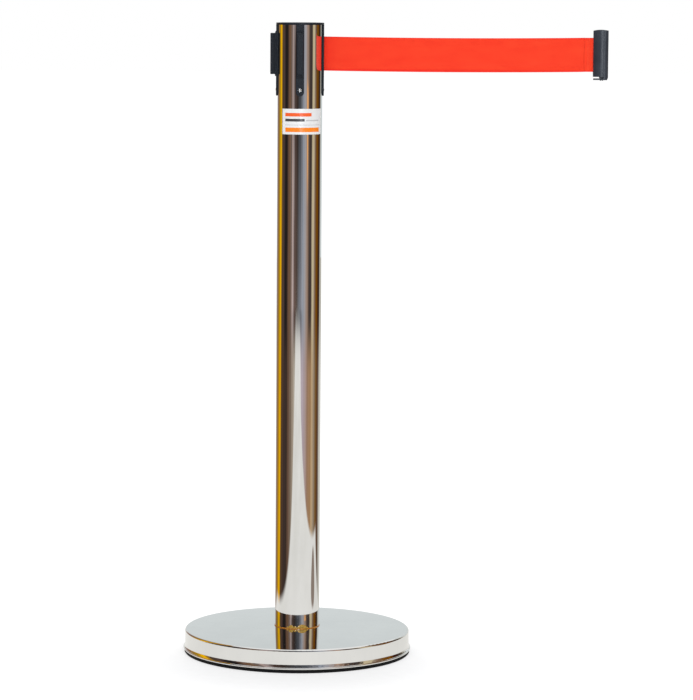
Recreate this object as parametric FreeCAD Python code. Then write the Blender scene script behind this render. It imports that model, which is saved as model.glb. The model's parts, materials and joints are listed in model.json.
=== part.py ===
"""Retractable belt stanchion: a mirror-polished steel post on a weighted round base, with a
belt cassette in its top, three receiver rails and a belt that ends in a clip.

Millimetres. +Z is up, the origin is the centre of the underside, and the belt leaves along +X.
"""

import FreeCAD, Part
import math
import os

V = FreeCAD.Vector
PARTS = "parts"

# Driving dimensions
HEIGHT = 900.0  # floor to the top of the cap
TUBE_R = 31.75
TUBE_WALL = 1.2
BASE_R = 163.3  # over the cover's rolled edge
BASE_TOP = 33.0  # the top's rim, where the dome starts
DOME = 4.0  # the seat under the post, above the rim
DOME_SEAT_R = 35.0
BELT_WIDTH = 48.0
BELT_THICK = 0.5
BELT_DROP = 43.2  # the belt's middle, below the top of the cap
BELT_SHOWN = 380.0  # belt between the outlet and the clip at rest
CLIP_LONG = 21.0
CLIP_TALL = 70.7

# Base
PAN_R = 161.8
PAN_TALL = 5.0
PAN_FLOOR = 3.0
PAN_GROOVE = 4.0
PAN_GROOVES_R = (70.0, 90.0, 110.0, 130.0)
WEIGHT_R = 157.3
WEIGHT_PLATE = 10.0
WEIGHT_RIM = 11.0
WEIGHT_HUB_R = 40.0
WEIGHT_RIB = 7.0
WEIGHT_RIBS = 6
WALL_R = 160.8
SHEET = 0.8
CORNER_R = 3.0
BOLT_R = 5.95
BOLT_HOLE_R = 7.0
BOLT_HEAD_TALL = 7.5
BOLT_HEAD_ACROSS_FLATS = 18.0
BOLT_HEAD_Z = 3.4
SPRING_WASHER_TALL = 2.7
FLAT_WASHER_TALL = 3.0
SEAT_Z = BOLT_HEAD_Z + BOLT_HEAD_TALL + SPRING_WASHER_TALL + FLAT_WASHER_TALL
BOLT_TIP_Z = 48.0

# Post
GASKET_TALL = 1.0
SEAT_TOP = BASE_TOP + DOME
TUBE_Z = SEAT_TOP + GASKET_TALL
PLUG_TALL = 12.0
CAP_TALL = 2.9
CAP_R = 33.9
TUBE_TOP = HEIGHT - CAP_TALL
BORE_R = TUBE_R - TUBE_WALL
SLOT_HALF = 4.0
SLOT_DEEP = 85.0
LABEL_TOP_DROP = 120.4
LABEL_TALL = 36.0
LABEL_WIDE_DEG = 117.0
LABEL_CENTRE_DEG = -81.0
LABEL_THICK = 0.15

# Head strips and receiver rails, measured out from the post's axis
STRIP_R = 33.9
STRIP_HALF = 5.8
STRIP_LOW_Z = HEIGHT - 103.0
TONGUE_HALF = 3.8
TONGUE_R = 30.45
SCREW_Z = HEIGHT - 94.2
SCREW_R = 1.5
SCREW_HEAD_R = 2.5
RAIL_TOP_Z = HEIGHT - 14.7
RAIL_LOW_Z = HEIGHT - 72.6
PAD_R = 35.4
PAD_HALF = 5.0
PAD_LEAD = 3.6  # the sloped pad above the rail
PAD_TAIL = 2.6  # the pad below the rail, and the groove under it
PAD_GROOVE = 2.0
NECK_R = 38.4
NECK_HALF = 2.4
FLANGE_R = 42.0
FLANGE_HALF = 4.8
RECEIVER_ANGLES = {"receiver_rear": 90, "receiver_left": 180, "receiver_front": 270}

# Cassette
BELT_Z = HEIGHT - BELT_DROP
BELT_LOW = BELT_Z - BELT_WIDTH / 2
BELT_HIGH = BELT_Z + BELT_WIDTH / 2
HOUSING_R = 30.4
HOUSING_BORE_R = 27.9
LID_SEAT_R = 28.9
HOUSING_LOW = HEIGHT - 102.5
HOUSING_FLOOR = 2.5
HOUSING_TOP = HEIGHT - 6.0
LID_Z = HEIGHT - 12.0
LID_TALL = 2.5
AXLE_R = 3.0
BUSH_R = 5.0
BUSH_CLEAR = 0.05
DRUM_R = 24.0
HUB_R = 14.0
FLANGE_CLEAR = 0.5
DRUM_WEB = 2.7
DRUM_FLANGE_TALL = 2.0
BOSS_DOWN = 2.0  # the drum's boss and bush, below its web
CUP_WALL = 1.5
CUP_LOW = HOUSING_LOW + 6.5
CUP_LID_TALL = 1.5
COIL_R = 21.3
COIL_GAP = 0.3
SPRING_STEP = 0.85  # half the spring's pitch from turn to turn
SPRING_INNER_R = 4.0
SPRING_HALF_TURNS = 21
SPRING_STRIP = 0.35
ROLLER_R = 1.55
ROLLER_BORE_R = 0.85
PIN_R = 0.8
ROLLER_X = 26.0
ROLLER_GAP = 0.1
ROLLER_Y = ROLLER_R + ROLLER_GAP + BELT_THICK / 2
LUG_TALL = 2.8
LUG_X = 24.6
LUG_HALF = 3.7
MOUTH_HALF = 2.4
MOUTH_SPARE = 1.5
LEAD_END_X = 28.0

# Clip, with u measured from its belt-side face
CLIP_X = STRIP_R + BELT_SHOWN
CLIP_TOP = BELT_Z + CLIP_TALL / 2
CLIP_LOW = BELT_Z - CLIP_TALL / 2
CLIP_HALF = 8.6
END_CAP_TALL = 7.2
BODY_TOP = CLIP_TOP - END_CAP_TALL
BODY_LOW = CLIP_LOW + 4.5
SKIRT_U = 13.8  # the skirt's walls run from here, on both sides of the latch
POCKET_U = (14.2, 18.7)
POCKET_HALF = 5.4
POCKET_TOP = CLIP_TOP - 5.6
NECK_SLOT_HALF = 3.1
LOOP_U = 7.0
LOOP_PIN_R = 1.5
LOOP_R = 2.5
LOOP_SPARE = 0.3
HEM_OUT = 12.3
HEM_THICK = 1.1
LATCH_U = (0.6, 17.3)
LATCH_HALF = 4.6
LATCH_TALL = 2.25
NOSE_U = 14.5
NOSE_TALL = 4.2
GRIP_U = (9.0, 11.6)
GRIP_LEAN = 1.5
GRIP_Z = (-1.1, 4.1)  # above the clip's lowest wall
STEM_U = (9.8, 12.2)
STEM_HALF = 2.0
HEAD_HALF = 3.2
CAVITY_U = (4.6, 12.6)
CAVITY_Z = (6.1, 8.9)  # the wide part of the latch's guide slot, above the clip's lowest wall
PIN_SEAT_Z = CLIP_LOW + 9.5
LATCH_SPRING_HALF = 2.2
LATCH_SPRING_STRIP = 0.3
LATCH_SPRING_LEAVES = 6


def box(x, y, z):
    """A box between two values on each axis."""
    return Part.makeBox(x[1] - x[0], y[1] - y[0], z[1] - z[0], V(x[0], y[0], z[0]))


def bar(x, half, z):
    """A box that is as wide on both sides of the XZ plane."""
    return box(x, (-half, half), z)


def rod(r, z, x=0.0, y=0.0):
    return Part.makeCylinder(r, z[1] - z[0], V(x, y, z[0]))


def rod_along_x(r, x, y, z):
    return Part.makeCylinder(r, x[1] - x[0], V(x[0], y, z), V(1, 0, 0))


def ring(outer, inner, z, x=0.0, y=0.0):
    return rod(outer, z, x, y).cut(rod(inner, z, x, y))


def outline(start, steps, place):
    """A closed face. A step is a point to draw a line to, or a pair of points to draw an arc through."""
    edges, here = [], start
    for step in list(steps) + [start]:
        if isinstance(step[0], tuple):
            middle, there = step
            edges.append(Part.Arc(place(*here), place(*middle), place(*there)).toShape())
        else:
            there = step
            if there != here:
                edges.append(Part.LineSegment(place(*here), place(*there)).toShape())
        here = there
    return Part.Face(Part.Wire(edges))


def turned(start, steps):
    """A solid of revolution about Z, from an outline in (radius, height)."""
    face = outline(start, steps, lambda r, z: V(r, 0, z))
    return face.revolve(V(0, 0, 0), V(0, 0, 1), 360)


def upright(start, steps, z):
    """A prism from an outline in (x, y), between two heights."""
    face = outline(start, steps, lambda x, y: V(x, y, z[0]))
    return face.extrude(V(0, 0, z[1] - z[0]))


def spun(shape, degrees):
    turned_shape = shape.copy()
    turned_shape.rotate(V(0, 0, 0), V(0, 0, 1), degrees)
    return turned_shape


def rounded(shape, radius, wanted):
    """Rounds the edges whose box passes a test, and leaves the shape as it is if none does."""
    edges = [e for e in shape.Edges if wanted(e.BoundBox)]
    return shape.makeFillet(radius, edges) if edges else shape


def flat_at(low, high, value):
    return abs(low - value) < 1e-4 and abs(high - value) < 1e-4


def around(shape, count):
    """Copies of a shape, evenly spaced about Z."""
    return Part.makeCompound([spun(shape, 360.0 * i / count) for i in range(count)])


# Base


def dome_to(inner_r, outer_r, z):
    """An arc's middle and inner end, for a dome that starts level round its seat and falls to a rim."""
    return ((inner_r + outer_r) / 2, z + DOME * 0.75), (inner_r, z + DOME)


def base_pan():
    """A soft tray under the weight, with ring grooves below and a wall that shows under the cover."""
    edge, groove_deep = 0.8, 1.0
    tray = turned(
        (0, 0),
        [
            (PAN_R - edge, 0),
            (PAN_R, edge),
            (PAN_R, PAN_TALL - 0.4),
            (PAN_R - 0.4, PAN_TALL),
            (WEIGHT_R + 1, PAN_TALL),
            (WEIGHT_R + 1, PAN_FLOOR),
            (0, PAN_FLOOR),
        ],
    )
    grooves = [ring(r + PAN_GROOVE, r, (-1, groove_deep)) for r in PAN_GROOVES_R]
    return tray.cut(grooves)


def base_weight():
    """A cast plate with a rim, a hub and ribs below, and a stepped hole for the draw bolt."""
    top, chamfer, recess_r = BASE_TOP - SHEET, 3.0, 24.0
    plate_low = top - WEIGHT_PLATE
    shell = turned(
        (BOLT_HOLE_R, SEAT_Z),
        [
            (recess_r, SEAT_Z),
            (recess_r, PAN_FLOOR),
            (WEIGHT_HUB_R, PAN_FLOOR),
            (WEIGHT_HUB_R, plate_low),
            (WEIGHT_R - WEIGHT_RIM, plate_low),
            (WEIGHT_R - WEIGHT_RIM, PAN_FLOOR),
            (WEIGHT_R, PAN_FLOOR),
            (WEIGHT_R, top - chamfer),
            (WEIGHT_R - chamfer, top),
            dome_to(DOME_SEAT_R, WEIGHT_R - chamfer, top),
            (BOLT_HOLE_R, top + DOME),
        ],
    )
    rib = bar((WEIGHT_HUB_R - 1, WEIGHT_R - WEIGHT_RIM + 1), WEIGHT_RIB / 2, (PAN_FLOOR, plate_low + 1))
    return shell.fuse([spun(rib, 360.0 * i / WEIGHT_RIBS) for i in range(WEIGHT_RIBS)])


def base_cover():
    """A spun sheet cover: low dome, upright wall, and a cove that flares into a rolled edge."""
    inner_r = WALL_R - SHEET
    corner_mid = math.sqrt(0.5) * CORNER_R
    inner_corner = CORNER_R - SHEET
    inner_mid = math.sqrt(0.5) * inner_corner
    centre_r, centre_z = WALL_R - CORNER_R, BASE_TOP - CORNER_R
    cove_top = PAN_TALL + 8.0
    low, middle = BASE_TOP - SHEET, dome_to(DOME_SEAT_R, centre_r, BASE_TOP)[0]
    return turned(
        (BOLT_HOLE_R, SEAT_TOP),
        [
            (DOME_SEAT_R, SEAT_TOP),
            (middle, (centre_r, BASE_TOP)),
            ((centre_r + corner_mid, centre_z + corner_mid), (WALL_R, centre_z)),
            (WALL_R, cove_top),
            ((WALL_R + 0.35, cove_top - 2.9), (WALL_R + 1.5, cove_top - 5.3)),
            ((BASE_R, PAN_TALL + 1.2), (WALL_R + 1.6, PAN_TALL)),
            (inner_r, PAN_TALL),
            (inner_r, centre_z),
            ((centre_r + inner_mid, centre_z + inner_mid), (centre_r, low)),
            dome_to(DOME_SEAT_R, centre_r, low),
            (BOLT_HOLE_R, low + DOME),
        ],
    )


def draw_bolt():
    """A hexagon-head bolt that pulls the post down on to the cover."""
    head_z = (BOLT_HEAD_Z, BOLT_HEAD_Z + BOLT_HEAD_TALL)
    corner_r = BOLT_HEAD_ACROSS_FLATS / math.sqrt(3)
    corners = [
        (corner_r * math.cos(math.radians(60 * i)), corner_r * math.sin(math.radians(60 * i)))
        for i in range(6)
    ]
    head = upright(corners[0], corners[1:], head_z)
    crown = turned(
        (0, head_z[0]),
        [
            (corner_r - 1.2, head_z[0]),
            (corner_r + 0.1, head_z[0] + 0.8),
            (corner_r + 0.1, head_z[1]),
            (0, head_z[1]),
        ],
    )
    tip = Part.makeCone(BOLT_R, BOLT_R - 1, 1, V(0, 0, BOLT_TIP_Z - 1))
    return head.common(crown).fuse([rod(BOLT_R, (head_z[1], BOLT_TIP_Z - 1)), tip]).removeSplitter()


def spring_washer():
    low = BOLT_HEAD_Z + BOLT_HEAD_TALL
    whole = ring(10.4, 6.2, (low, low + SPRING_WASHER_TALL))
    split = box((4, 12), (-0.8, 0.8), (low - 1, low + SPRING_WASHER_TALL + 1))
    split.rotate(V(7, 0, low + SPRING_WASHER_TALL / 2), V(1, 0, 0), 25)
    return whole.cut(split)


def flat_washer():
    return ring(22.0, 6.5, (SEAT_Z - FLAT_WASHER_TALL, SEAT_Z))


# Post


def foot_gasket():
    return rounded(
        ring(TUBE_R + 0.9, BORE_R - 2.5, (SEAT_TOP, TUBE_Z)),
        0.4,
        lambda b: b.XMax > TUBE_R and flat_at(b.ZMin, b.ZMax, TUBE_Z),
    )


def foot_plug():
    """A tapped disc welded into the foot of the tube."""
    chamfer = 1.5
    return turned(
        (BOLT_R + 0.05, TUBE_Z),
        [
            (BORE_R, TUBE_Z),
            (BORE_R, TUBE_Z + PLUG_TALL - chamfer),
            (BORE_R - chamfer, TUBE_Z + PLUG_TALL),
            (BOLT_R + 0.05, TUBE_Z + PLUG_TALL),
        ],
    )


def post_tube():
    """The tube, with four slots open at its top and a screw hole under each."""
    tube = ring(TUBE_R, BORE_R, (TUBE_Z, TUBE_TOP))
    slot = bar((BORE_R - 2, TUBE_R + 2), SLOT_HALF, (TUBE_TOP - SLOT_DEEP, TUBE_TOP + 1))
    hole = rod_along_x(SCREW_R + 0.3, (BORE_R - 2, TUBE_R + 2), 0, SCREW_Z)
    for i in range(4):
        tube = tube.cut([spun(slot, 90 * i), spun(hole, 90 * i)])
    return tube


def label():
    """A thin blank sticker wrapped on the tube below the head."""
    low = HEIGHT - LABEL_TOP_DROP - LABEL_TALL
    face = outline(
        (TUBE_R, low),
        [
            (TUBE_R + LABEL_THICK, low),
            (TUBE_R + LABEL_THICK, low + LABEL_TALL),
            (TUBE_R, low + LABEL_TALL),
        ],
        lambda r, z: V(r, 0, z),
    )
    sticker = face.revolve(V(0, 0, 0), V(0, 0, 1), LABEL_WIDE_DEG)
    return spun(sticker, LABEL_CENTRE_DEG - LABEL_WIDE_DEG / 2)


# Head strips


def strip():
    """The plate outside the tube and the tongue that fills its slot, facing +X."""
    low, centre_z = STRIP_LOW_Z, STRIP_LOW_Z + STRIP_HALF
    face = outline(
        (STRIP_HALF, TUBE_TOP),
        [
            (STRIP_HALF, centre_z),
            ((0, low), (-STRIP_HALF, centre_z)),
            (-STRIP_HALF, TUBE_TOP),
        ],
        lambda y, z: V(TUBE_R - 1, y, z),
    )
    plate = face.extrude(V(STRIP_R - TUBE_R + 1, 0, 0))
    plate = rounded(
        plate, 0.7, lambda b: flat_at(b.XMin, b.XMax, STRIP_R) and not flat_at(b.ZMin, b.ZMax, TUBE_TOP)
    )
    plate = plate.cut(rod(TUBE_R, (low - 1, TUBE_TOP + 1)))
    tongue = bar((TONGUE_R, TUBE_R + 0.3), TONGUE_HALF, (TUBE_TOP - SLOT_DEEP + 0.3, TUBE_TOP))
    counterbore = rod_along_x(SCREW_HEAD_R + 0.5, (STRIP_R - 1, STRIP_R + 1), 0, SCREW_Z)
    hole = rod_along_x(SCREW_R + 0.1, (TUBE_R - 3, STRIP_R + 1), 0, SCREW_Z)
    return plate.fuse(tongue).cut([counterbore, hole])


def receiver(degrees):
    """A strip with a T-shaped rail that another stanchion's clip slides down over."""
    pad = upright(
        (STRIP_R - 1, PAD_HALF),
        [(PAD_R, PAD_HALF), (PAD_R, -PAD_HALF), (STRIP_R - 1, -PAD_HALF)],
        (RAIL_LOW_Z - PAD_TAIL, RAIL_TOP_Z + PAD_LEAD),
    )
    groove_top = RAIL_LOW_Z - PAD_TAIL
    groove = bar((STRIP_R - 0.9, STRIP_R + 1), STRIP_HALF - 0.8, (groove_top - PAD_GROOVE, groove_top))
    slope = outline(
        (STRIP_R, RAIL_TOP_Z + PAD_LEAD),
        [(PAD_R + 0.1, RAIL_TOP_Z + PAD_LEAD + 0.1), (PAD_R + 0.1, RAIL_TOP_Z + 1)],
        lambda x, z: V(x, -10, z),
    ).extrude(V(0, 20, 0))
    neck = bar((PAD_R - 0.5, NECK_R + 0.5), NECK_HALF, (RAIL_LOW_Z, RAIL_TOP_Z))
    flange = bar((NECK_R, FLANGE_R), FLANGE_HALF, (RAIL_LOW_Z, RAIL_TOP_Z))
    flange = rounded(flange, 1.0, lambda b: flat_at(b.XMin, b.XMax, FLANGE_R))
    shape = strip().cut(groove).fuse([pad.cut(slope), neck, flange]).removeSplitter()
    return spun(shape, degrees)


def outlet_guide():
    """A strip with the belt's mouth in it, and two lugs inside that hold the guide rollers' pins."""
    lugs = [bar((LUG_X, TUBE_R), LUG_HALF, z) for z in lug_heights()]
    mouth = bar(
        (LUG_X - 1, STRIP_R + 1), MOUTH_HALF, (BELT_LOW - MOUTH_SPARE, BELT_HIGH + MOUTH_SPARE)
    )
    holes = [rod(PIN_R, (BELT_LOW - 10, BELT_HIGH + 10), ROLLER_X, side * ROLLER_Y) for side in (-1, 1)]
    shape = strip().cut(mouth)
    shape = rounded(
        shape,
        0.6,
        lambda b: flat_at(b.XMin, b.XMax, STRIP_R) and flat_at(abs(b.YMin), abs(b.YMax), MOUTH_HALF),
    )
    return shape.fuse(lugs).cut(holes)


def lug_heights():
    reach = BELT_WIDTH / 2 + 1.4
    return (
        (BELT_Z - reach - LUG_TALL, BELT_Z - reach),
        (BELT_Z + reach, BELT_Z + reach + LUG_TALL),
    )


def head_screws():
    """A domed screw at the foot of each strip, into the cassette's wall."""
    seat = STRIP_R - 1
    shank = rod_along_x(SCREW_R, (HOUSING_BORE_R + 0.5, seat), 0, SCREW_Z)
    head = rod_along_x(SCREW_HEAD_R, (seat, seat + 0.7), 0, SCREW_Z)
    dome_r = 3.2
    ball = Part.makeSphere(dome_r, V(seat + 1.7 - dome_r, 0, SCREW_Z))
    dome = rod_along_x(SCREW_HEAD_R, (seat + 0.7, seat + 3), 0, SCREW_Z).common(ball)
    recess = Part.makeBox(3, 0.7, 2.8, V(seat + 0.9, -0.35, SCREW_Z - 1.4))
    cross = recess.copy()
    cross.rotate(V(0, 0, SCREW_Z), V(1, 0, 0), 90)
    screw = head.fuse([dome, shank]).cut([recess, cross])
    return around(screw, 4)


def top_cap():
    """The cap over the tube's end, with a spigot that pushes into the cassette."""
    lip, sink, rim = 0.8, 0.4, 4.0
    lip_mid = lip * math.sqrt(0.5)
    return turned(
        (0, HEIGHT - sink),
        [
            (CAP_R - rim - 0.6, HEIGHT - sink),
            (CAP_R - rim, HEIGHT),
            (CAP_R - lip, HEIGHT),
            ((CAP_R - lip + lip_mid, HEIGHT - lip + lip_mid), (CAP_R, HEIGHT - lip)),
            (CAP_R, TUBE_TOP),
            (LID_SEAT_R - 0.1, TUBE_TOP),
            (LID_SEAT_R - 0.1, LID_Z + LID_TALL + 0.5),
            (LID_SEAT_R - 1.8, LID_Z + LID_TALL + 0.5),
            (LID_SEAT_R - 1.8, TUBE_TOP),
            (0, TUBE_TOP),
        ],
    )


# Cassette


def cassette_housing():
    """A cup inside the tube: floor with an axle boss, and a window where the belt leaves."""
    floor_top = HOUSING_LOW + HOUSING_FLOOR
    boss_r = 6.0
    cup = turned(
        (AXLE_R, HOUSING_LOW),
        [
            (HOUSING_R, HOUSING_LOW),
            (HOUSING_R, HOUSING_TOP),
            (LID_SEAT_R, HOUSING_TOP),
            (LID_SEAT_R, LID_Z),
            (HOUSING_BORE_R, LID_Z),
            (HOUSING_BORE_R, floor_top),
            (boss_r, floor_top),
            (boss_r, CUP_LOW - 0.8),
            (AXLE_R, CUP_LOW - 0.8),
        ],
    )
    window = bar((LUG_X - 2, HOUSING_R + 1), LUG_HALF + 0.3, (lug_heights()[0][0] - 0.5, HOUSING_TOP + 1))
    pilot = rod_along_x(SCREW_R, (HOUSING_BORE_R - 1, HOUSING_R + 1), 0, SCREW_Z)
    return cup.cut([window] + [spun(pilot, 90 * i) for i in range(4)])


def cassette_lid():
    """A disc that closes the cassette and steadies the axle's top end."""
    boss_r, boss_tall = 6.0, 1.8
    return turned(
        (AXLE_R, LID_Z - boss_tall),
        [
            (boss_r, LID_Z - boss_tall),
            (boss_r, LID_Z),
            (LID_SEAT_R - 0.1, LID_Z),
            (LID_SEAT_R - 0.1, LID_Z + LID_TALL),
            (AXLE_R, LID_Z + LID_TALL),
        ],
    )


def groove_height():
    """Where the axle's retaining clip sits, just above the upper bush."""
    return bush_heights()["upper_bush"][1] + 0.4


def axle():
    """The fixed steel axle, tapped at its foot, with a slot for the spring and a clip groove."""
    shaft = rod(AXLE_R, (HOUSING_LOW, LID_Z + LID_TALL))
    tapped = rod(SCREW_R, (HOUSING_LOW, HOUSING_LOW + 10))
    low, high = spring_heights()
    slot = bar((-AXLE_R - 1, AXLE_R + 1), 0.4, (low - 0.3, high + 0.3))
    slot = slot.common(box((0, AXLE_R + 1), (-1, 1), (low - 1, high + 1)))
    z = groove_height()
    groove = ring(AXLE_R + 1, AXLE_R - 0.6, (z, z + 0.8))
    return shaft.cut([tapped, slot, groove])


def axle_screw():
    """The screw and its collar under the housing's floor that hold the axle down."""
    head_tall, head_r = 2.4, 4.0
    head = rounded(
        rod(head_r, (HOUSING_LOW - head_tall, HOUSING_LOW)),
        0.8,
        lambda b: flat_at(b.ZMin, b.ZMax, HOUSING_LOW - head_tall),
    )
    slot = bar((-5, 5), 0.5, (HOUSING_LOW - head_tall - 1, HOUSING_LOW - head_tall + 1.0))
    return head.cut(slot).fuse(rod(SCREW_R - 0.05, (HOUSING_LOW, HOUSING_LOW + 9)))


def axle_clip():
    z = groove_height()
    clip = ring(AXLE_R + 2.2, AXLE_R - 0.6, (z, z + 0.8))
    return clip.cut(bar((0, AXLE_R + 3), 1.6, (z - 1, z + 2)))


def bush_heights():
    top = BELT_HIGH + FLANGE_CLEAR
    return {
        "lower_bush": (BELT_LOW - FLANGE_CLEAR - DRUM_WEB - BOSS_DOWN, BELT_LOW + 8),
        "upper_bush": (top - 7, top + DRUM_FLANGE_TALL + 0.8),
    }


def bush(name):
    return ring(BUSH_R, AXLE_R + BUSH_CLEAR, bush_heights()[name])


def spring_heights():
    return CUP_LOW + CUP_LID_TALL + 1, BELT_LOW - FLANGE_CLEAR - DRUM_WEB - BOSS_DOWN - 0.6


def drum_core():
    """The hub that the belt winds on, its lower flange, and the spring cup below that."""
    flange_top = BELT_LOW - FLANGE_CLEAR
    web_low = flange_top - DRUM_WEB
    hub_top = BELT_HIGH + FLANGE_CLEAR
    boss_r, hub_wall = 8.0, 2.0
    low_bush, high_bush = bush_heights()["lower_bush"], bush_heights()["upper_bush"]
    return turned(
        (BUSH_R, low_bush[0]),
        [
            (boss_r, low_bush[0]),
            (boss_r, web_low),
            (DRUM_R - CUP_WALL, web_low),
            (DRUM_R - CUP_WALL, CUP_LOW + CUP_LID_TALL),
            (DRUM_R - CUP_WALL + 0.5, CUP_LOW + CUP_LID_TALL),
            (DRUM_R - CUP_WALL + 0.5, CUP_LOW),
            (DRUM_R, CUP_LOW),
            (DRUM_R, flange_top),
            (HUB_R, flange_top),
            (HUB_R, hub_top),
            (BUSH_R, hub_top),
            (BUSH_R, high_bush[0]),
            (HUB_R - hub_wall, high_bush[0] + 2),
            (HUB_R - hub_wall, flange_top + 2),
            (boss_r, flange_top + 2),
            (boss_r, low_bush[1]),
            (BUSH_R, low_bush[1]),
        ],
    ).cut(drum_screw_holes())


def drum_screw_holes():
    hub_top = BELT_HIGH + FLANGE_CLEAR
    return around(rod(1.1, (hub_top - 6, hub_top + DRUM_FLANGE_TALL + 1), 9.5), 3)


def drum_top_flange():
    low = BELT_HIGH + FLANGE_CLEAR
    return ring(DRUM_R, BUSH_R, (low, low + DRUM_FLANGE_TALL)).cut(drum_screw_holes())


def drum_flange_screws():
    """Three small screws that hold the top flange on the hub."""
    top = BELT_HIGH + FLANGE_CLEAR + DRUM_FLANGE_TALL
    screw = rod(1.05, (top - 7, top), 9.5).fuse(rod(2.0, (top, top + 1.0), 9.5))
    slot = box((7, 12), (-0.25, 0.25), (top + 0.6, top + 2))
    return around(screw.cut(slot), 3)


def spring_cup_lid():
    return ring(DRUM_R - CUP_WALL + 0.5, BUSH_R + 1.6, (CUP_LOW, CUP_LOW + CUP_LID_TALL))


def power_spring():
    """A flat strip wound in half circles about two centres, hooked into the axle's slot."""
    low, high = spring_heights()

    def side(offset):
        """The centre line moved outwards, as one arc for each half turn."""
        arcs = []
        for i in range(SPRING_HALF_TURNS):
            r = SPRING_INNER_R + SPRING_STEP * i + offset
            centre = SPRING_STEP * (i % 2)
            start = -1 if i % 2 else 1
            ends = [V(centre + start * r, 0, low), V(centre, start * r, low), V(centre - start * r, 0, low)]
            arcs.append(Part.Arc(*ends).toShape())
        return arcs

    inner, outer = side(-SPRING_STRIP / 2), side(SPRING_STRIP / 2)
    caps = []
    first = [arcs[0].Curve.value(arcs[0].FirstParameter) for arcs in (inner, outer)]
    last = [arcs[-1].Curve.value(arcs[-1].LastParameter) for arcs in (inner, outer)]
    for ends in (first, last):
        caps.append(Part.LineSegment(*ends).toShape())
    face = Part.Face(Part.Wire(Part.__sortEdges__(inner + outer + caps)))
    strip_shape = face.extrude(V(0, 0, high - low))
    hook = box((0.6, SPRING_INNER_R), (-SPRING_STRIP / 2, SPRING_STRIP / 2), (low, high))
    return strip_shape.fuse(hook).removeSplitter()


def belt_coil():
    """The belt that is still wound on the drum."""
    return ring(COIL_R, HUB_R, (BELT_LOW, BELT_HIGH))


def belt_lead():
    """The belt from the coil's rim, round the rear guide roller, to just inside the mouth."""
    leave_r = COIL_R + COIL_GAP + BELT_THICK / 2
    span = math.hypot(ROLLER_X, ROLLER_Y)
    run = math.sqrt(span**2 - (leave_r + ROLLER_Y) ** 2)
    heading = math.atan2(ROLLER_Y, ROLLER_X) - math.atan2(leave_r + ROLLER_Y, run)
    normal = V(-math.sin(heading), math.cos(heading), 0)
    centre = V(ROLLER_X, ROLLER_Y, BELT_LOW)
    half_turn = (heading - math.pi / 2) / 2

    def side(offset):
        """The corner points of the lead, moved towards its rear face."""
        r = ROLLER_Y - offset
        leave = normal * (leave_r + offset) + V(0, 0, BELT_LOW)
        touch = centre - normal * r
        middle = centre + V(r * math.sin(heading / 2), -r * math.cos(heading / 2), 0)
        straight = centre - V(0, r, 0)
        return leave, touch, middle, straight, V(LEAD_END_X, offset, BELT_LOW)

    front, rear = side(-BELT_THICK / 2), side(BELT_THICK / 2)
    edges = []
    for leave, touch, middle, straight, end in (front, rear):
        edges.append(Part.LineSegment(leave, touch).toShape())
        edges.append(Part.Arc(touch, middle, straight).toShape())
        edges.append(Part.LineSegment(straight, end).toShape())
    edges.append(Part.LineSegment(front[0], rear[0]).toShape())
    edges.append(Part.LineSegment(front[-1], rear[-1]).toShape())
    face = Part.Face(Part.Wire(Part.__sortEdges__(edges)))
    return face.extrude(V(0, 0, BELT_WIDTH))


def guide_roller(side):
    low, high = lug_heights()[0][1] + 0.2, lug_heights()[1][0] - 0.2
    return ring(ROLLER_R, ROLLER_BORE_R, (low, high), ROLLER_X, side * ROLLER_Y)


def guide_pins():
    low, high = lug_heights()[0][0], lug_heights()[1][1]
    return Part.makeCompound([rod(PIN_R, (low, high), ROLLER_X, side * ROLLER_Y) for side in (-1, 1)])


# Belt and clip


def belt_free():
    return bar((LEAD_END_X, CLIP_X - HEM_OUT), BELT_THICK / 2, (BELT_LOW, BELT_HIGH))


def belt_hem():
    """The belt's sewn end: two layers that part to go round the pin in the clip."""
    pin_x = CLIP_X + LOOP_U
    layers = bar((CLIP_X - HEM_OUT, pin_x - LOOP_PIN_R - 0.3), HEM_THICK / 2, (BELT_LOW, BELT_HIGH))
    loop = rod(LOOP_R, (BELT_LOW, BELT_HIGH), pin_x)
    return layers.fuse(loop).cut(rod(LOOP_PIN_R + 0.1, (BELT_LOW, BELT_HIGH), pin_x)).removeSplitter()


def belt_end_pin():
    return rod(LOOP_PIN_R, (PIN_SEAT_Z, BODY_TOP - 2), CLIP_X + LOOP_U)


def clip_u(u):
    """Two distances from the clip's belt-side face, as X values."""
    return CLIP_X + u[0], CLIP_X + u[1]


def clip_prism(z):
    """The clip's outline: narrow where the belt enters, full and rounded towards the rail pocket."""

    def at(u, v):
        return CLIP_X + u, v

    return upright(
        at(0, -2.4),
        [
            (at(0.2, -3.1), at(0.7, -3.6)),
            (at(6.0, -7.3), at(14.0, -CLIP_HALF)),
            (at(18.6, -8.0), at(20.2, -6.6)),
            (at(20.8, -5.7), at(CLIP_LONG, -4.8)),
            at(CLIP_LONG, 4.8),
            (at(20.8, 5.7), at(20.2, 6.6)),
            (at(18.6, 8.0), at(14.0, CLIP_HALF)),
            (at(6.0, 7.3), at(0.7, 3.6)),
            (at(0.2, 3.1), at(0, 2.4)),
        ],
        z,
    )


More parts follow.
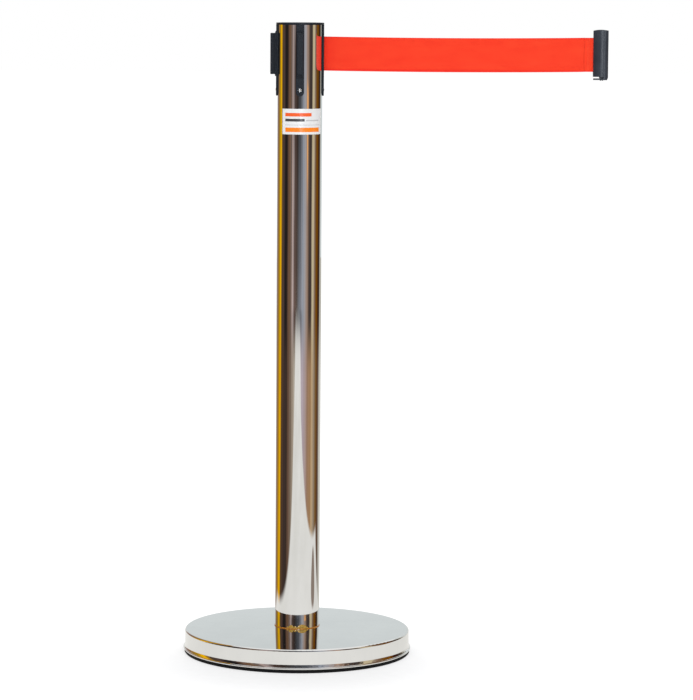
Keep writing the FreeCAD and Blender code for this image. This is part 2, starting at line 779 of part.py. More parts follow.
def clip_body():
    """The clip's shell: rail pocket and its narrow mouth, belt slot, and the latch's guide slot."""
    past = 5.0
    full = clip_prism((CLIP_LOW, BODY_TOP))
    pin_x = CLIP_X + LOOP_U
    slot_z = (BELT_LOW - LOOP_SPARE, BELT_HIGH + LOOP_SPARE)
    chamfer = outline(
        (CLIP_X + CLIP_LONG - 1.7, CLIP_LOW - 0.1),
        [
            (CLIP_X + CLIP_LONG + 0.1, CLIP_LOW - 0.1),
            (CLIP_X + CLIP_LONG + 0.1, CLIP_LOW + 3.9),
        ],
        lambda x, z: V(x, -CLIP_HALF - 1, z),
    ).extrude(V(0, 2 * CLIP_HALF + 2, 0))
    wide = (CLIP_LOW + CAVITY_Z[0], CLIP_LOW + CAVITY_Z[1])
    return full.cut(
        [
            bar(clip_u((-past, SKIRT_U)), CLIP_HALF + 1, (CLIP_LOW - 1, BODY_LOW)),
            bar(clip_u((SKIRT_U - 1, POCKET_U[0])), POCKET_HALF, (CLIP_LOW - 1, BODY_LOW)),
            rail_pocket(),
            bar(clip_u((-past, LOOP_U)), HEM_THICK / 2 + LOOP_SPARE, slot_z),
            rod(LOOP_R + LOOP_SPARE, slot_z, pin_x),
            rod(LOOP_PIN_R, (PIN_SEAT_Z, BODY_TOP + 1), pin_x),
            bar(clip_u(CAVITY_U), STEM_HALF + 0.3, (BODY_LOW - 1, wide[1])),
            bar(clip_u(CAVITY_U), HEAD_HALF + 0.3, wide),
            chamfer,
        ]
    )


def rail_pocket():
    """The space a rail slides into: its flange's width, and a narrow mouth for its neck."""
    z = (CLIP_LOW - 1, POCKET_TOP)
    mouth = bar(clip_u((POCKET_U[1] - 1, CLIP_LONG + 5)), NECK_SLOT_HALF, z)
    return bar(clip_u(POCKET_U), POCKET_HALF, z).fuse(mouth)


def clip_end_cap():
    """The domed piece that closes the clip's top and stops the rail in its pocket."""
    reach, sag, crown = 16.0, 3.0, CLIP_X + 11.0
    dome = outline(
        (crown - reach, BODY_TOP),
        [
            (crown - reach, CLIP_TOP - sag),
            ((crown, CLIP_TOP), (crown + reach, CLIP_TOP - sag)),
            (crown + reach, BODY_TOP),
        ],
        lambda x, z: V(x, -CLIP_HALF - 1, z),
    ).extrude(V(0, 2 * CLIP_HALF + 2, 0))
    return clip_prism((BODY_TOP, CLIP_TOP + 1)).common(dome).cut(rail_pocket())


def clip_latch():
    """A sprung slide under the clip. Its nose stands in the pocket, below the rail's end."""
    cam = 1.8
    tip = CLIP_X + LATCH_U[1]
    section = outline(
        (CLIP_X + LATCH_U[0], CLIP_LOW),
        [
            (tip - cam, CLIP_LOW),
            (tip, CLIP_LOW + cam),
            (tip, CLIP_LOW + NOSE_TALL),
            (CLIP_X + NOSE_U, CLIP_LOW + NOSE_TALL),
            (CLIP_X + NOSE_U, CLIP_LOW + LATCH_TALL),
            (CLIP_X + LATCH_U[0], CLIP_LOW + LATCH_TALL),
        ],
        lambda x, z: V(x, -LATCH_HALF, z),
    )
    plate = section.extrude(V(0, 2 * LATCH_HALF, 0))
    plate = rounded(plate, 1.2, lambda b: flat_at(b.XMin, b.XMax, CLIP_X + LATCH_U[0]) and b.ZLength > 1)
    grips = [grip(CLIP_X + u) for u in GRIP_U]
    stem = bar(clip_u(STEM_U), STEM_HALF, (CLIP_LOW + 1, CLIP_LOW + CAVITY_Z[1] - 0.25))
    head = bar(clip_u(STEM_U), HEAD_HALF, (CLIP_LOW + CAVITY_Z[0] + 0.25, CLIP_LOW + CAVITY_Z[1] - 0.25))
    return plate.fuse(grips + [stem, head]).removeSplitter()


def grip(x):
    """A slanted rib across the latch, for the thumb."""
    low, high = CLIP_LOW + GRIP_Z[0], CLIP_LOW + GRIP_Z[1]
    return outline(
        (x + GRIP_LEAN, low),
        [(x + GRIP_LEAN + 0.9, low), (x + 1.1, high), (x, high)],
        lambda px, z: V(px, -LATCH_HALF - 1.6, z),
    ).extrude(V(0, 2 * LATCH_HALF + 3.2, 0))


def latch_spring():
    """A small flat spring behind the latch's head, folded to and fro."""
    start = CLIP_X + CAVITY_U[0] + 0.15
    length = STEM_U[0] - CAVITY_U[0] - 0.3 - LATCH_SPRING_STRIP
    step = length / LATCH_SPRING_LEAVES
    z = (CLIP_LOW + CAVITY_Z[0] + 0.4, CLIP_LOW + CAVITY_Z[1] - 0.4)
    leaves = []
    for i in range(LATCH_SPRING_LEAVES):
        near, far = start + step * i, start + step * (i + 1)
        side = LATCH_SPRING_HALF * (-1) ** i
        corners = [
            (near + LATCH_SPRING_STRIP, -side),
            (far + LATCH_SPRING_STRIP, side),
            (far, side),
        ]
        leaves.append(upright((near, -side), corners, z))
    return leaves[0].fuse(leaves[1:]).removeSplitter()


def pieces():
    """Every piece, as name and shape."""
    made = {
        "base_pan": base_pan(),
        "base_weight": base_weight(),
        "base_cover": base_cover(),
        "draw_bolt": draw_bolt(),
        "spring_washer": spring_washer(),
        "flat_washer": flat_washer(),
        "foot_gasket": foot_gasket(),
        "foot_plug": foot_plug(),
        "post_tube": post_tube(),
        "label": label(),
        "outlet_guide": outlet_guide(),
        "head_screws": head_screws(),
        "top_cap": top_cap(),
        "cassette_housing": cassette_housing(),
        "cassette_lid": cassette_lid(),
        "axle": axle(),
        "axle_screw": axle_screw(),
        "axle_clip": axle_clip(),
        "lower_bush": bush("lower_bush"),
        "upper_bush": bush("upper_bush"),
        "drum_core": drum_core(),
        "drum_top_flange": drum_top_flange(),
        "drum_flange_screws": drum_flange_screws(),
        "spring_cup_lid": spring_cup_lid(),
        "power_spring": power_spring(),
        "belt_coil": belt_coil(),
        "belt_lead": belt_lead(),
        "guide_roller_front": guide_roller(-1),
        "guide_roller_rear": guide_roller(1),
        "guide_pins": guide_pins(),
        "belt_free": belt_free(),
        "belt_hem": belt_hem(),
        "belt_end_pin": belt_end_pin(),
        "clip_body": clip_body(),
        "clip_end_cap": clip_end_cap(),
        "clip_latch": clip_latch(),
        "latch_spring": latch_spring(),
    }
    for name, degrees in RECEIVER_ANGLES.items():
        made[name] = receiver(degrees)
    return made


def main():
    os.makedirs(PARTS, exist_ok=True)
    for name, shape in pieces().items():
        solids = shape.Solids
        if not shape.isValid() or not solids or min(s.Volume for s in solids) <= 0:
            raise ValueError(f"{name} is not a sound solid")
        shape.exportStep(os.path.join(PARTS, name + ".step"))
        print(f"{name}: {len(solids)} solid(s), {shape.Volume / 1000:.2f} cm3")


main()
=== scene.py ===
"""Looks of the retractable belt stanchion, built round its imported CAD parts. Metres, +Z up."""

import json
import math

import bmesh
import bpy
import numpy as np
from mathutils import Matrix, Vector

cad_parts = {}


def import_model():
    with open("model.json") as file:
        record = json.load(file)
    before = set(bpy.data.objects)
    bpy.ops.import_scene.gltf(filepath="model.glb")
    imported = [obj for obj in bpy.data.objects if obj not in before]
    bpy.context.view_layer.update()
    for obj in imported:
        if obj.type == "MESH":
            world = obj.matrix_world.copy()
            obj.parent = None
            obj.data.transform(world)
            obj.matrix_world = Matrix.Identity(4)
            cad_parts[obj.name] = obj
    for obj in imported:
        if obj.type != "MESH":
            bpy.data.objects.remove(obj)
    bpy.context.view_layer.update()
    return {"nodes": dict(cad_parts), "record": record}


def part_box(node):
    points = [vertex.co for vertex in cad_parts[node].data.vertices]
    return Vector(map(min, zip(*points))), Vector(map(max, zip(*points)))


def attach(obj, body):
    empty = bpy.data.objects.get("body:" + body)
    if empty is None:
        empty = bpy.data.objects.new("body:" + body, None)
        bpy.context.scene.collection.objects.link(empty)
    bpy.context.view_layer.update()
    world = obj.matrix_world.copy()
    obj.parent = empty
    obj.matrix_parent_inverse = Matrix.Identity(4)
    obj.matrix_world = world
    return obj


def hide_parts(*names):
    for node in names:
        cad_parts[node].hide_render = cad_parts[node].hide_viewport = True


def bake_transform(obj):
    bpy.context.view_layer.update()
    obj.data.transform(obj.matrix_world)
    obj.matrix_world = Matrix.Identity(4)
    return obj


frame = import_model()
nodes = frame["nodes"]
scene = bpy.context.scene
rng = np.random.default_rng(7)

MM = 0.001

free_low, free_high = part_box("belt_free")
pin_low, pin_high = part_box("belt_end_pin")
BELT_THICK = free_high.y - free_low.y
BELT_LOW, BELT_HIGH = free_low.z, free_high.z
BELT_MIDDLE = (BELT_LOW + BELT_HIGH) / 2
LENGTH = free_high.x - free_low.x
HEM_START = free_high.x


# Materials


class Graph:
    """One material's node tree, with short ways to add nodes and join them."""

    def __init__(self, name):
        self.mat = bpy.data.materials.new(name)
        self.mat.use_nodes = True
        self.tree = self.mat.node_tree
        self.shader = self.tree.nodes["Principled BSDF"]
        self.coords = self.tree.nodes.new("ShaderNodeTexCoord").outputs["Object"]

    def add(self, kind, **settings):
        node = self.tree.nodes.new("ShaderNode" + kind)
        for key, value in settings.items():
            setattr(node, key, value)
        return node

    def feed(self, socket, value):
        """Joins an output to a socket, or sets a plain value on it."""
        if isinstance(value, bpy.types.NodeSocket):
            self.tree.links.new(value, socket)
        else:
            socket.default_value = value

    def set(self, **values):
        """Plain values on the shader's own sockets."""
        for key, value in values.items():
            self.shader.inputs[key.replace("_", " ")].default_value = value

    def math(self, operation, a, b=0.0, c=0.0):
        node = self.add("Math", operation=operation)
        for socket, value in zip(node.inputs, (a, b, c)):
            self.feed(socket, value)
        return node.outputs[0]

    def xyz(self):
        """The object's own coordinates, one by one."""
        node = self.add("SeparateXYZ")
        self.feed(node.inputs[0], self.coords)
        return tuple(node.outputs)

    def direction(self, x, y):
        """The way to a point round the post, in radians from straight ahead (-Y) towards +X."""
        return self.math("ARCTAN2", x, self.math("MULTIPLY", y, -1.0))

    def distance(self, source, centre=(0, 0, 0)):
        node = self.add("VectorMath", operation="DISTANCE")
        self.feed(node.inputs[0], source)
        node.inputs[1].default_value = centre
        return node.outputs["Value"]

    def scaled(self, scale, source=None):
        node = self.add("Mapping")
        self.feed(node.inputs["Vector"], source or self.coords)
        node.inputs["Scale"].default_value = scale
        return node.outputs[0]

    def noise(self, scale, detail=2.0, source=None, rough=0.5):
        """A noise whose scale is one number, or three for stretched grain."""
        vector = source or self.coords
        if not isinstance(scale, (int, float)):
            vector, scale = self.scaled(scale, source), 1.0
        node = self.add("TexNoise")
        self.feed(node.inputs["Vector"], vector)
        node.inputs["Scale"].default_value = scale
        node.inputs["Detail"].default_value = detail
        node.inputs["Roughness"].default_value = rough
        return node.outputs["Fac"]

    def ramp(self, value, *stops):
        """Maps a value through stops of (position, colour or grey)."""
        node = self.add("ValToRGB")
        self.feed(node.inputs["Fac"], value)
        elements = node.color_ramp.elements
        for position, colour in stops:
            # Looked up each time, because adding an element moves the others.
            ends = {stops[0][0]: elements[0], stops[-1][0]: elements[-1]}
            element = ends.get(position) or elements.new(position)
            grey = isinstance(colour, (int, float))
            element.position = position
            element.color = (colour,) * 3 + (1,) if grey else tuple(colour) + (1,)
        return node.outputs["Color"]

    def remap(self, value, start, end, low, high, kind="LINEAR"):
        """Maps start to low and end to high, and holds them beyond."""
        node = self.add("MapRange", interpolation_type=kind)
        self.feed(node.inputs["Value"], value)
        numbers = {"From Min": start, "From Max": end, "To Min": low, "To Max": high}
        for key, number in numbers.items():
            node.inputs[key].default_value = number
        return node.outputs["Result"]

    def spread(self, value, low, high):
        """Maps the middle of a noise to a range of numbers."""
        return self.remap(value, 0.3, 0.7, low, high)

    def step(self, value, start, end, low=0.0, high=1.0):
        """A soft step from low to high as the value goes from start to end."""
        return self.remap(value, start, end, low, high, "SMOOTHSTEP")

    def mix(self, share, a, b, kind="MIX"):
        """Two colours mixed, or combined as kind says, by a share of the second."""
        node = self.add("Mix", data_type="RGBA", blend_type=kind)
        self.feed(node.inputs["Factor"], share)
        for socket, value in ((node.inputs["A"], a), (node.inputs["B"], b)):
            plain = not isinstance(value, bpy.types.NodeSocket)
            self.feed(socket, tuple(value) + (1,) if plain else value)
        return node.outputs["Result"]

    def bump(self, *layers, edges=0.0):
        """Layers of (height, strength, distance) on the shader's normal.

        edges is the radius to which sharp edges are softened below them.
        """
        below = None
        if edges:
            bevel = self.add("Bevel", samples=6)
            bevel.inputs["Radius"].default_value = edges
            below = bevel.outputs["Normal"]
        for height, strength, distance in layers:
            node = self.add("Bump")
            self.feed(node.inputs["Height"], height)
            node.inputs["Strength"].default_value = strength
            node.inputs["Distance"].default_value = distance
            if below is not None:
                self.feed(node.inputs["Normal"], below)
            below = node.outputs["Normal"]
        self.feed(self.shader.inputs["Normal"], below)

    def finish(self, colour, roughness):
        self.feed(self.shader.inputs["Base Color"], colour)
        self.feed(self.shader.inputs["Roughness"], roughness)
        return self.mat


def polished_steel(name, spun):
    """Mirror-polished stainless sheet with faint polishing lines, which go round the part."""
    g = Graph(name)
    g.set(Metallic=1.0)
    if spun:
        lines = g.noise(1400.0, 3.0, source=g.distance(g.scaled((1, 1, 0))))
    else:
        lines = g.noise((18, 18, 2400), 3.0)
    swell = g.noise((9, 9, 3), 1.0)
    smudge = g.noise((14, 14, 9), 4.0, rough=0.7)
    g.bump((swell, 0.25, 0.0006), (lines, 0.05, 0.00001))
    colour = g.ramp(smudge, (0.3, (0.75, 0.75, 0.745)), (0.7, (0.81, 0.81, 0.80)))
    return g.finish(colour, g.spread(smudge, 0.012, 0.045))


def moulded(name, dark, light, rough, grain=2600.0, gloss=0.25):
    """Satin moulded plastic with a fine spark-eroded grain and slight handling marks."""
    g = Graph(name)
    g.set(IOR=1.5, Specular_IOR_Level=gloss)
    tone = g.noise(38.0, 5.0, rough=0.6)
    fine = g.noise(grain, 2.0)
    marks = g.noise((60, 60, 220), 3.0)
    g.bump((fine, 0.22, 0.00005), (marks, 0.06, 0.0001), edges=0.6 * MM)
    colour = g.ramp(tone, (0.3, dark), (0.72, light))
    return g.finish(colour, g.spread(tone, rough - 0.05, rough + 0.07))


def weave(g, x, z):
    """Height of a plain weave, whose threads wander a little from their even pitch."""
    warp_pitch, pick_pitch, stray = 1.1 * MM, 1.3 * MM, 0.18 * MM
    wander = g.noise(700.0, 2.0)
    x = g.math("MULTIPLY_ADD", wander, stray, x)
    z = g.math("MULTIPLY_ADD", wander, stray, z)
    warp = g.math("SINE", g.math("MULTIPLY", z, 2 * math.pi / warp_pitch))
    pick = g.math("SINE", g.math("MULTIPLY", x, 2 * math.pi / pick_pitch))
    ribs = g.math("MULTIPLY", g.math("ABSOLUTE", warp), 0.5)
    return g.math("MULTIPLY_ADD", g.math("MULTIPLY", warp, pick), 0.5, ribs)


def webbing():
    """Woven polyester belt with its warp along X and darker, redder edges; painted shade deepens
    the red in the weave's hollows and where the belt comes out of the post.
    """
    dark, light = (0.94, 0.046, 0.0150), (1.0, 0.065, 0.0205)
    painted_mouth_shade, painted_weave_shade, at_edge = (0.96, 0.020, 0.010), (0.60, 0.012, 0.006), (0.80, 0.014, 0.010)
    g = Graph("belt_webbing")
    g.set(Sheen_Weight=0.04, Sheen_Roughness=0.5, Specular_IOR_Level=0.12)
    x, _, z = g.xyz()
    height = weave(g, x, z)
    fibre = g.noise((900, 900, 5200), 3.0)
    blotch = g.noise((26, 26, 90), 4.0, rough=0.6)
    colour = g.ramp(blotch, (0.3, dark), (0.7, light))
    out = g.math("MULTIPLY", g.math("SUBTRACT", x, free_low.x), 1 / LENGTH)
    # Painted shade: the red deepens over the first few hundredths of the belt, where it comes out
    # of the post
    colour = g.mix(g.ramp(out, (0.0, 0.55), (0.07, 0.10), (0.9, 0.0)), colour, painted_mouth_shade)
    # Painted shade: the weave's hollows get a darker red
    colour = g.mix(g.ramp(height, (0.0, 0.42), (0.55, 0.0)), colour, painted_weave_shade)
    reach = g.math("ABSOLUTE", g.math("SUBTRACT", z, BELT_MIDDLE))
    share = g.math("MULTIPLY", reach, 2 / (BELT_HIGH - BELT_LOW))
    colour = g.mix(g.ramp(share, (0.86, 0.0), (0.95, 0.55)), colour, at_edge)
    g.bump((height, 0.8, 0.0002), (fibre, 0.35, 0.00005))
    return g.finish(colour, g.spread(fibre, 0.62, 0.82))


def thread():
    """The hem's sewing thread, a little paler than the belt."""
    g = Graph("stitching_thread")
    g.set(Sheen_Weight=0.1)
    twist = g.noise((2500, 2500, 900), 2.0)
    g.bump((twist, 0.5, 0.00008))
    return g.finish(g.ramp(twist, (0.3, (0.80, 0.060, 0.014)), (0.7, (0.95, 0.11, 0.025))), 0.7)


def rubber():
    """Black rubber of the tray, with grit and a little dust."""
    g = Graph("base_rubber")
    g.set(Specular_IOR_Level=0.1)
    grit = g.noise(900.0, 4.0)
    dust = g.noise((40, 40, 260), 5.0, rough=0.7)
    g.bump((grit, 0.35, 0.00015))
    colour = g.ramp(dust, (0.35, (0.0022, 0.0024, 0.0032)), (0.8, (0.0085, 0.0085, 0.0090)))
    return g.finish(colour, g.spread(dust, 0.55, 0.8))


def metal(name, dark, light, rough, grain, bump=0.15):
    """Bare or plated steel for fasteners, shafts and springs."""
    g = Graph(name)
    g.set(Metallic=1.0)
    turned = g.noise(grain, 3.0)
    stain = g.noise(120.0, 4.0)
    g.bump((turned, bump, 0.00003))
    colour = g.ramp(stain, (0.3, dark), (0.7, light))
    return g.finish(colour, g.spread(turned, rough - 0.06, rough + 0.08))


def casting():
    """Sand-cast iron with a little rust."""
    bare, dull, rusty = (0.045, 0.045, 0.048), (0.07, 0.062, 0.056), (0.16, 0.07, 0.035)
    g = Graph("cast_weight")
    g.set(Metallic=0.7)
    sand = g.noise(420.0, 6.0, rough=0.7)
    rust = g.noise(24.0, 5.0, rough=0.65)
    g.bump((sand, 0.6, 0.0004))
    colour = g.ramp(rust, (0.4, bare), (0.62, dull), (0.85, rusty))
    return g.finish(colour, g.spread(sand, 0.6, 0.85))


def amber(name, dark, light, grain):
    """Clear sealing compound, thin in the ring and thicker where it is squeezed out."""
    g = Graph(name)
    g.set(IOR=1.45, Coat_Weight=0.4)
    cloud = g.noise(grain, 3.0)
    g.bump((cloud, 0.05, 0.0001))
    return g.finish(g.ramp(cloud, (0.3, dark), (0.7, light)), g.spread(cloud, 0.15, 0.3))


ORANGE, RED_ORANGE = (0.92, 0.22, 0.006), (0.84, 0.11, 0.02)
GREY, PALE_GREY = (0.055, 0.055, 0.06), (0.50, 0.50, 0.51)
# Printed areas as left, right, bottom and top: millimetres round from straight ahead, and up.
LABEL_PRINT = (
    ((-22.0, 17.5, 25.3, 30.2), RED_ORANGE),
    ((-22.0, 7.0, 18.2, 22.0), GREY),
    ((9.0, 31.0, 18.6, 20.6), PALE_GREY),
    ((-22.0, 33.0, 12.9, 13.7), PALE_GREY),
    ((-22.0, 32.0, 3.4, 9.6), ORANGE),
)


def sticker():
    """A white film label with red-orange, grey and orange bars, which spell nothing."""
    low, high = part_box("label")
    g = Graph("label_print")
    g.set(Coat_Weight=0.3, IOR=1.48)
    x, y, z = g.xyz()
    radius = max(-low.y, high.x)
    u = g.math("MULTIPLY", g.direction(x, y), radius / MM)
    v = g.math("MULTIPLY", g.math("SUBTRACT", z, low.z), 1 / MM)

    def window(value, start, end):
        above, below = g.math("GREATER_THAN", value, start), g.math("LESS_THAN", value, end)
        return g.math("MULTIPLY", above, below)

    def patch(left, right, bottom, top):
        return g.math("MULTIPLY", window(u, left, right), window(v, bottom, top))

    paper = g.noise(60.0, 3.0)
    colour = g.ramp(paper, (0.3, (0.72, 0.72, 0.72)), (0.7, (0.78, 0.78, 0.78)))
    for area, ink in LABEL_PRINT:
        colour = g.mix(patch(*area), colour, ink)
    g.bump((paper, 0.04, 0.0001))
    return g.finish(colour, g.spread(paper, 0.22, 0.34))


# Darker and lighter colour and roughness, then grain and gloss where they are not the usual ones
PLASTICS = {
    "head_plastic": ((0.0075, 0.0100, 0.0145), (0.0125, 0.0165, 0.0235), 0.34, 2600.0, 0.12),
    "clip_plastic": ((0.021, 0.026, 0.036), (0.031, 0.038, 0.052), 0.32, 2600.0, 0.36),
    "cassette_plastic": ((0.020, 0.020, 0.023), (0.034, 0.034, 0.038), 0.45, 1800.0),
    "acetal": ((0.74, 0.73, 0.68), (0.82, 0.81, 0.77), 0.40, 1500.0),
}
WEBBING = webbing()
BLUED = metal("spring_steel", (0.16, 0.18, 0.23), (0.26, 0.28, 0.33), 0.28, (1200, 1200, 120))

BY_SLOT = {
    "polished_steel": polished_steel("polished_tube", spun=False),
    "plain_steel": metal(
        "turned_steel", (0.52, 0.53, 0.54), (0.62, 0.63, 0.64), 0.30, (200, 200, 2400)
    ),
    "zinc_steel": metal("zinc_plate", (0.56, 0.57, 0.52), (0.70, 0.70, 0.66), 0.36, 900.0),
    "spring_steel": BLUED,
    "screw_chrome": metal(
        "screw_chrome", (0.55, 0.56, 0.57), (0.66, 0.67, 0.68), 0.16, 1500.0, bump=0.04
    ),
    "cast_weight": casting(),
    "base_rubber": rubber(),
    "gasket_amber": amber("gasket_amber", (0.38, 0.12, 0.01), (0.62, 0.25, 0.03), 90.0),
    "label_film": sticker(),
    "belt_fabric": WEBBING,
}
BY_SLOT.update({name: moulded(name, *values) for name, values in PLASTICS.items()})


def dress(obj, material):
    """Gives a CAD node its one material."""
    obj.data.materials.clear()
    obj.data.materials.append(material)


for part in frame["record"]["subparts"]:
    dress(nodes[part["node"]], BY_SLOT[part["material_slot"]])
dress(nodes["base_cover"], polished_steel("polished_cover", spun=True))


# Geometry helpers


def new_object(mesh, body, material):
    """A piece named after its mesh, riding on a body if one is given."""
    obj = bpy.data.objects.new(mesh.name, mesh)
    scene.collection.objects.link(obj)
    obj.data.materials.append(material)
    if body:
        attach(obj, body)
    return obj


def grid_mesh(name, points, closed_rows=False):
    """A mesh over rows and columns of points. closed_rows joins the last row to the first."""
    rows, columns = points.shape[:2]
    mesh = bpy.data.meshes.new(name)
    quads = []
    for i in range(rows if closed_rows else rows - 1):
        a, b = i * columns, ((i + 1) % rows) * columns
        quads += [(a + j, b + j, b + j + 1, a + j + 1) for j in range(columns - 1)]
    mesh.from_pydata(points.reshape(-1, 3).tolist(), [], quads)
    mesh.polygons.foreach_set("use_smooth", [True] * len(quads))
    return mesh


def smooth_mesh(name, bm):
    """Makes a smoothly shaded mesh of a bmesh, and frees the bmesh."""
    mesh = bpy.data.meshes.new(name)
    bm.to_mesh(mesh)
    bm.free()
    mesh.polygons.foreach_set("use_smooth", [True] * len(mesh.polygons))
    return mesh


def ribbon(name, path, thickness, low, high, shape=None, steps=36):
    """A band along a path in XY, from height low to high. Its rim is rounded and a little thicker.

    shape takes the distance along the path and the height as a share from -1 to 1, and gives an
    offset in Y and in Z.
    """
    rim = 0.06
    path = np.array(path, float)
    tangent = np.gradient(path, axis=0)
    tangent /= np.linalg.norm(tangent, axis=1)[:, None]
    normal = np.stack([-tangent[:, 1], tangent[:, 0]], 1)
    step = np.linalg.norm(np.diff(path, axis=0), axis=1)
    distance = np.concatenate([[0], np.cumsum(step)])
    height = np.sin(np.linspace(-1, 1, steps) * math.pi / 2)
    edge = np.clip((1 - np.abs(height)) / rim, 0, 1)
    rounded = 0.25 + 0.95 * np.sqrt(edge) * (1.25 - 0.25 * edge)
    half = thickness / 2 * np.where(edge < 1, rounded, 1.0)
    around = []
    for side, order in ((1, range(steps)), (-1, range(steps - 1, -1, -1))):
        for k in order:
            dy, dz = shape(distance, height[k]) if shape else (0 * distance, 0 * distance)
            z = (low + high) / 2 + height[k] * (high - low) / 2 + dz
            x = path[:, 0] + normal[:, 0] * side * half[k]
            y = path[:, 1] + normal[:, 1] * side * half[k] + dy
            around.append(np.stack([x, y, z], 1))
    return grid_mesh(name, np.array(around), closed_rows=True)


def cap_ends(obj):
    """Fills a ribbon's two open ends and points its faces outwards."""
    bm = bmesh.new()
    bm.from_mesh(obj.data)
    rims = [edge for edge in bm.edges if edge.is_boundary]
    for face in bmesh.ops.holes_fill(bm, edges=rims, sides=0)["faces"]:
        face.smooth = False
    bmesh.ops.recalc_face_normals(bm, faces=bm.faces)
    bm.to_mesh(obj.data)
    bm.free()


# Belt


def sag(distance, height):
    """The belt's bow across its width with its long soft waves, and its slight droop."""
    droop, bow, wave, flutter = 1.5 * MM, 0.7 * MM, 0.22 * MM, 0.12 * MM
    share = np.clip(distance / LENGTH, 0, 1)
    fade = np.sin(share * math.pi) ** 0.6
    bowed = bow * (height**2 - 0.4) * fade
    waved = wave * np.sin(share * 17.0 + height * 1.3) * fade
    fluttered = flutter * np.sin(share * 41.0 - height * 2.1) * fade * height**2
    return bowed + waved + fluttered, -droop * (np.sin(share * math.pi) ** 0.8)


def free_belt():
    """The belt outside the post."""
    along = np.linspace(free_low.x, HEM_START, 240)
    path = np.stack([along, 0 * along], 1)
    mesh = ribbon("belt_band", path, BELT_THICK, BELT_LOW, BELT_HIGH, sag)
    belt = new_object(mesh, None, WEBBING)
    cap_ends(belt)
    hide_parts("belt_free")
    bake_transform(belt)


# The hem: one layer's thickness, how far each of the two layers lies from the belt's middle, and
# where the rows of stitches run
LAYER = 0.46 * MM
LAYER_Y = 0.29 * MM
STITCH_ROWS = (4.4 * MM, 6.4 * MM, 10.6 * MM)


def hem_fold():
    """The belt's end, folded round the pin in the clip and back on itself."""
    joint_gap, pin_gap, inset = 0.01 * MM, 0.15 * MM, 0.1 * MM
    part_after, part_over, back_short = 0.4 * MM, 3.0 * MM, 3.0 * MM
    pin = (pin_low + pin_high) / 2
    loop_r = (pin_high.y - pin_low.y) / 2 + pin_gap + LAYER / 2
    leave = math.acos(LAYER_Y / loop_r)
    turn = np.linspace(math.pi + (math.pi / 2 - leave), 3 * math.pi - (math.pi / 2 - leave), 40)
    loop_start = pin.x - loop_r * 1.25
    front_x = np.linspace(HEM_START + joint_gap, loop_start, 24)
    parted = np.clip((front_x - HEM_START - part_after) / part_over, 0, 1)
    front_run = list(zip(front_x, -LAYER_Y * parted**2 * (3 - 2 * parted)))
    loop_run = [(pin.x + loop_r * math.cos(a), loop_r * math.sin(a)) for a in turn]
    back_run = [(x, LAYER_Y) for x in np.linspace(loop_start, HEM_START + back_short, 18)]
    path = front_run + loop_run + back_run
    mesh = ribbon("belt_fold", path, LAYER, BELT_LOW + inset, BELT_HIGH - inset)
    fold = new_object(mesh, "clip", WEBBING)
    cap_ends(fold)
    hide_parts("belt_hem")


def stitches(name, x, material):
    """One row of lock stitches down the hem, as short sunk threads on its front and its back."""
    pitch, length, radius, margin, proud = 2.6 * MM, 2.0 * MM, 0.17 * MM, 2.5 * MM, 0.02 * MM
    bm = bmesh.new()
    count = int((BELT_HIGH - BELT_LOW - 2 * margin) / pitch)
    for face in (-1, 1):
        y = face * (LAYER_Y + LAYER / 2 + proud)
        for i in range(count):
            z = BELT_LOW + margin + (i + 0.5) * pitch
            made = bmesh.ops.create_uvsphere(bm, u_segments=8, v_segments=6, radius=1.0)
            lean = Matrix.Rotation(math.radians(rng.normal(4, 1.5)) * face, 4, "Y")
            size = Matrix.Diagonal((radius * 1.25, radius, length / 2, 1))
            placed = Matrix.Translation((x, y, z)) @ lean @ size
            bmesh.ops.transform(bm, matrix=placed, verts=made["verts"])
    new_object(smooth_mesh(name, bm), "clip", material)


free_belt()
hem_fold()
sewing = thread()
for number, row in enumerate(STITCH_ROWS, 1):
    stitches(f"hem_stitches_{number}", HEM_START + row, sewing)


# Latch spring


def latch_spring():
    """A flat strip folded to and fro."""
    strip, waves, bend = 0.28 * MM, 3, 0.96
    spring_low, spring_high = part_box("latch_spring")
    turns = np.linspace(0.5 * math.pi, (2 * waves + 0.5) * math.pi, 200)
    x = np.linspace(spring_low.x + strip / 2, spring_high.x - strip / 2, 200)
    # A wave with straight runs and tight bends, the tighter the nearer bend is to 1
    y = (spring_high.y - strip) * np.arcsin(bend * np.sin(turns)) / math.asin(bend)
    path = np.stack([x, y], 1)
    mesh = ribbon("folded_spring", path, strip, spring_low.z, spring_high.z, steps=12)
    spring = new_object(mesh, None, BLUED)
    cap_ends(spring)
    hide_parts("latch_spring")
    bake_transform(spring)


latch_spring()


# Sealing compound squeezed out of the gasket at the front of the post's foot

# Degrees round from straight ahead, then half length and height in millimetres
BEADS = (
    (-25.0, 1.8, 1.6),
    (-15.5, 3.8, 4.8),
    (-4.5, 2.6, 3.2),
    (13.5, 7.2, 5.6),
    (28.0, 1.8, 1.4),
)


def squeezed_beads():
    """Flattened, slightly uneven drops, which stand up behind the gasket's rim."""
    low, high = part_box("foot_gasket")
    tube_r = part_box("post_tube")[1].y
    depth = 0.7 * (high.y - tube_r)
    bm = bmesh.new()
    for degrees, length, tall in BEADS:
        made = bmesh.ops.create_icosphere(bm, subdivisions=3, radius=1.0)["verts"]
        for vert in made:
            vert.co *= 1 + rng.normal(0, 0.015)
        turned = Matrix.Rotation(math.radians(degrees), 4, "Z")
        out = Matrix.Translation((0, -tube_r, high.z))
        size = Matrix.Diagonal((length * MM, depth, tall * MM, 1))
        bmesh.ops.transform(bm, matrix=turned @ out @ size, verts=made)
        for vert in made:
            vert.co.z = max(vert.co.z, low.z)
    paste = amber("gasket_paste", (0.30, 0.18, 0.02), (0.64, 0.38, 0.06), 260.0)
    new_object(smooth_mesh("gasket_beads", bm), "post", paste)


squeezed_beads()


# Stage: floor, room and lights


